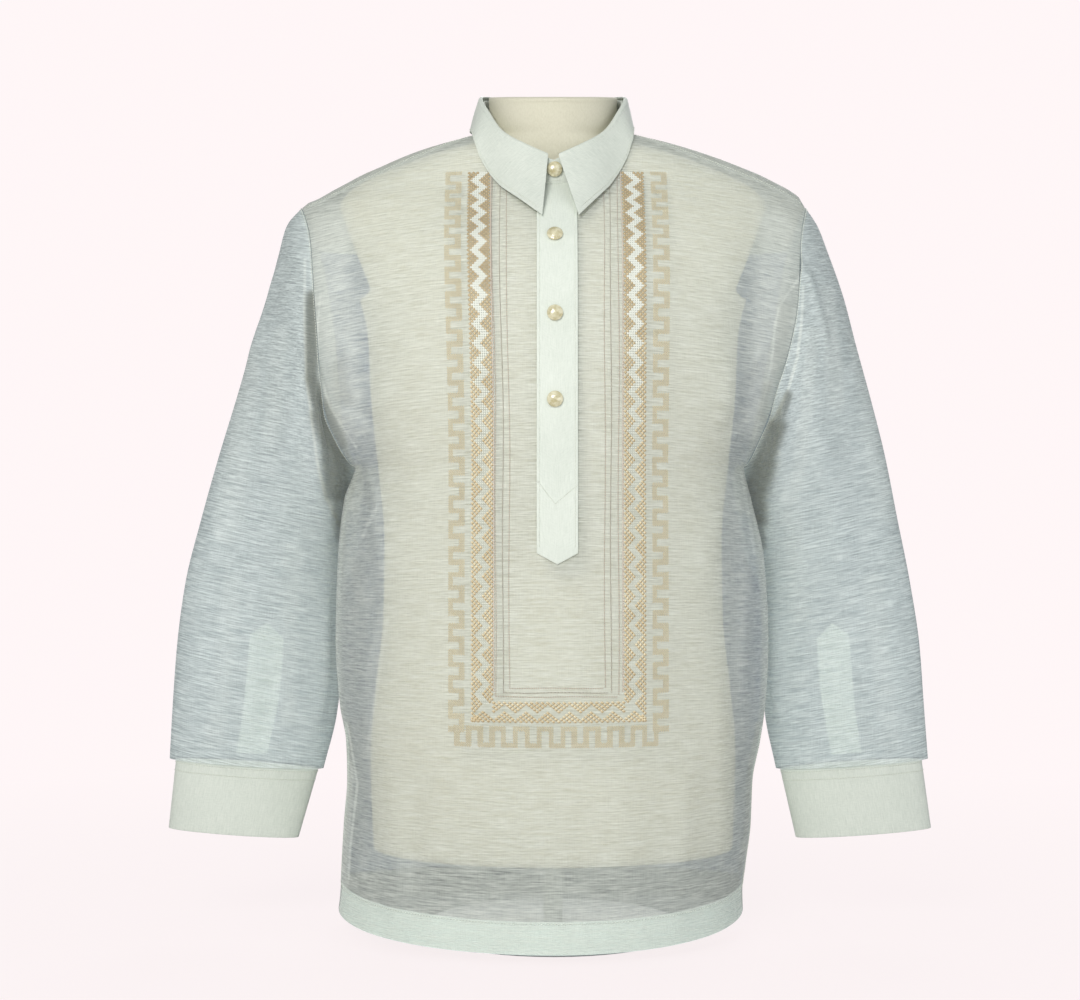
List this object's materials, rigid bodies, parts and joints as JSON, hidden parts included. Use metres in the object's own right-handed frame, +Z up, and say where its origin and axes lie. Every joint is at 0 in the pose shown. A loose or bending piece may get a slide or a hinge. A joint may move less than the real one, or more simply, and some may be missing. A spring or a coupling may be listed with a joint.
{
  "type": "barong tagalog on a limbless dress form",
  "caption": "Sheer long-sleeved formal shirt with a pointed collar, half placket and buttoned cuffs, worn by a limbless dress form on a short post and round base",
  "frame": {"origin": "the middle of the stand base's underside, on the surface that the stand rests on", "axes": "+Z up, the shirt's front faces -Y, the wearer's left is +X"},
  "size_m": [0.7238, 0.2924, 0.7999],
  "materials": {
    "sheer_cloth": "sheer slub organza",
    "doubled_cloth": "doubled fine twill",
    "button_shell": "pearly",
    "form_cover": "fine jersey",
    "stand_paint": "satin"
  },
  "bodies": {
    "root": {"front": "sheer_cloth", "back": "sheer_cloth", "yoke": "sheer_cloth", "front_hem": "sheer_cloth", "back_hem": "sheer_cloth", "front_vent_facing_right": "sheer_cloth", "front_vent_facing_left": "sheer_cloth", "back_vent_facing_right": "sheer_cloth", "back_vent_facing_left": "sheer_cloth", "sleeve_right": "sheer_cloth", "sleeve_left": "sheer_cloth", "collar_stand": "doubled_cloth", "collar_leaf": "doubled_cloth", "placket": "doubled_cloth", "cuff_right": "doubled_cloth", "cuff_left": "doubled_cloth", "sleeve_placket_right": "doubled_cloth", "sleeve_placket_left": "doubled_cloth", "button_1": "button_shell", "button_2": "button_shell", "button_3": "button_shell", "button_4": "button_shell", "cuff_button_right": "button_shell", "cuff_button_left": "button_shell", "form_torso": "form_cover", "stand_post": "stand_paint", "stand_base": "stand_paint"}
  },
  "joints": []
}
